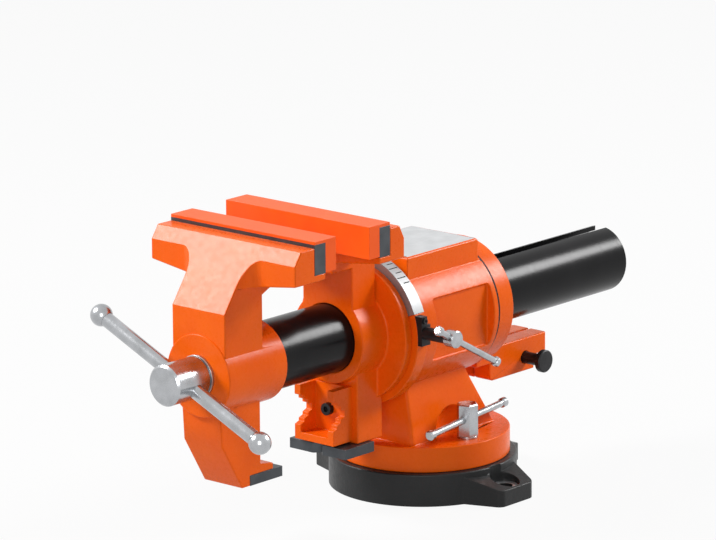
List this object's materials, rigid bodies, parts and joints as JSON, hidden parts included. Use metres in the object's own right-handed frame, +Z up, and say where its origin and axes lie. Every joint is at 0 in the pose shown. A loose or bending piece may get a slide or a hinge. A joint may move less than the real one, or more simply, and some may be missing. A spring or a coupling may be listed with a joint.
{
  "type": "suction base vise",
  "caption": "Bench vise with a turning head, soft flat jaws, V-grooved pipe jaws below and a swivel base with bolt lugs.",
  "frame": {"origin": "centre of the base's underside on the bench, on the swivel axis", "axes": "+Z up, +X along the slide axis from the handle end to the tube's open end"},
  "size_m": [0.5376, 0.2, 0.2509],
  "materials": {
    "orange_paint": "semi-gloss orange enamel on cast iron",
    "orange_soft": "moulded orange soft jaw pad",
    "base_paint": "dark grey enamel on cast iron",
    "black_tube": "glossy black tube",
    "black_steel": "black oxide steel",
    "jaw_steel": "hardened dark steel",
    "bright_steel": "bright machined steel",
    "zinc": "bright zinc plate",
    "bronze": "turned bronze"
  },
  "bodies": {
    "base": {"swivel_base": "base_paint"},
    "stand_body": {"stand": "orange_paint", "pivot_bolt": "black_steel", "pivot_washer": "bright_steel", "swivel_studs": "black_steel", "swivel_washers": "zinc", "scale_ring": "bright_steel", "lock_block": "black_steel", "block_screw": "black_steel"},
    "near_nut": {"near_swivel_nut": "zinc"},
    "near_bar": {"near_swivel_bar": "zinc", "near_swivel_bar_knobs": "zinc"},
    "far_nut": {"far_swivel_nut": "zinc"},
    "far_bar": {"far_swivel_bar": "zinc", "far_swivel_bar_knobs": "zinc"},
    "head_lock_pad": {"lock_pad": "bronze"},
    "head_lock_screw": {"lock_screw": "black_steel"},
    "head_lock_tommy": {"head_lock_bar": "zinc", "head_lock_knobs": "zinc"},
    "head": {"fixed_jaw": "orange_paint", "fixed_jaw_plate": "jaw_steel", "fixed_plate_screws": "black_steel", "fixed_soft_pad": "orange_soft", "fixed_pad_magnets": "bright_steel", "fixed_pipe_jaw": "orange_paint", "fixed_pipe_screw": "black_steel", "fixed_rod_plate": "jaw_steel", "fixed_rod_screws": "black_steel", "rear_collar": "orange_paint", "collar_screws": "black_steel", "thrust_ring": "bright_steel", "spindle_nut": "bronze", "nut_key": "bright_steel"},
    "tail_knob": {"tail_screw": "black_steel"},
    "slide": {"moving_jaw": "orange_paint", "slide_tube": "black_tube", "moving_jaw_plate": "jaw_steel", "moving_plate_screws": "black_steel", "moving_soft_pad": "orange_soft", "moving_pad_magnets": "bright_steel", "moving_pipe_jaw": "jaw_steel", "moving_pipe_screw": "black_steel", "moving_rod_plate": "jaw_steel", "moving_rod_screws": "black_steel", "tube_set_screws": "black_steel", "spindle_bush": "bronze", "thrust_washer": "bright_steel"},
    "screw": {"spindle": "zinc", "retaining_collar": "bright_steel", "retaining_pin": "bright_steel"},
    "handle": {"handle_bar": "zinc", "handle_knobs": "zinc"}
  },
  "joints": [
    {"name": "swivel", "type": "hinge", "parent": "base", "child": "stand_body", "pos_m": [0, 0, 0.0268], "axis": [0, 0, 1], "continuous": true},
    {"name": "head_turn", "type": "hinge", "parent": "stand_body", "child": "head", "pos_m": [0, 0, 0.1432], "axis": [1, 0, 0], "continuous": true},
    {"name": "jaw_slide", "type": "slide", "parent": "head", "child": "slide", "axis": [1, 0, 0], "range_m": [-0.111, 0.0382]},
    {"name": "spindle_turn", "type": "hinge", "parent": "slide", "child": "screw", "pos_m": [-0.2841, 0, 0.1432], "axis": [1, 0, 0], "range_deg": [-7992, 2750]},
    {"name": "handle_slide", "type": "slide", "parent": "screw", "child": "handle", "axis": [0, 0.9135, 0.4067], "range_m": [-0.062, 0.058]},
    {"name": "near_nut_turn", "type": "hinge", "parent": "stand_body", "child": "near_nut", "pos_m": [-0.0065, -0.0528, 0.05], "axis": [0, 0, 1], "range_deg": [-22, 5]},
    {"name": "near_bar_slide", "type": "slide", "parent": "near_nut", "child": "near_bar", "axis": [0.9863, 0.165, 0], "range_m": [-0.024, 0.0448]},
    {"name": "far_nut_turn", "type": "hinge", "parent": "stand_body", "child": "far_nut", "pos_m": [-0.0065, 0.0528, 0.05], "axis": [0, 0, 1], "range_deg": [-5, 22]},
    {"name": "far_bar_slide", "type": "slide", "parent": "far_nut", "child": "far_bar", "axis": [0.9863, -0.165, 0], "range_m": [-0.024, 0.0448]},
    {"name": "lock_screw_turn", "type": "hinge", "parent": "stand_body", "child": "head_lock_screw", "pos_m": [-0.073, -0.09375, 0.1495], "axis": [0, -1, 0], "range_deg": [-72, 55]},
    {"name": "lock_bar_slide", "type": "slide", "parent": "head_lock_screw", "child": "head_lock_tommy", "axis": [0.8746, 0, -0.4848], "range_m": [-0.014, 0.0098]},
    {"name": "lock_pad_slide", "type": "slide", "parent": "stand_body", "child": "head_lock_pad", "axis": [0, 1, 0], "range_m": [-0.0002, 0.00025]},
    {"name": "tail_screw_turn", "type": "hinge", "parent": "head", "child": "tail_knob", "pos_m": [0.11, -0.03, 0.0845], "axis": [0, -1, 0], "range_deg": [-180, 90]}
  ],
  "couplings": [
    {"joint": "jaw_slide", "follows": "spindle_turn", "m_per_rad": 0.00079577},
    {"joint": "lock_pad_slide", "follows": "lock_screw_turn", "m_per_rad": -0.00019894}
  ]
}
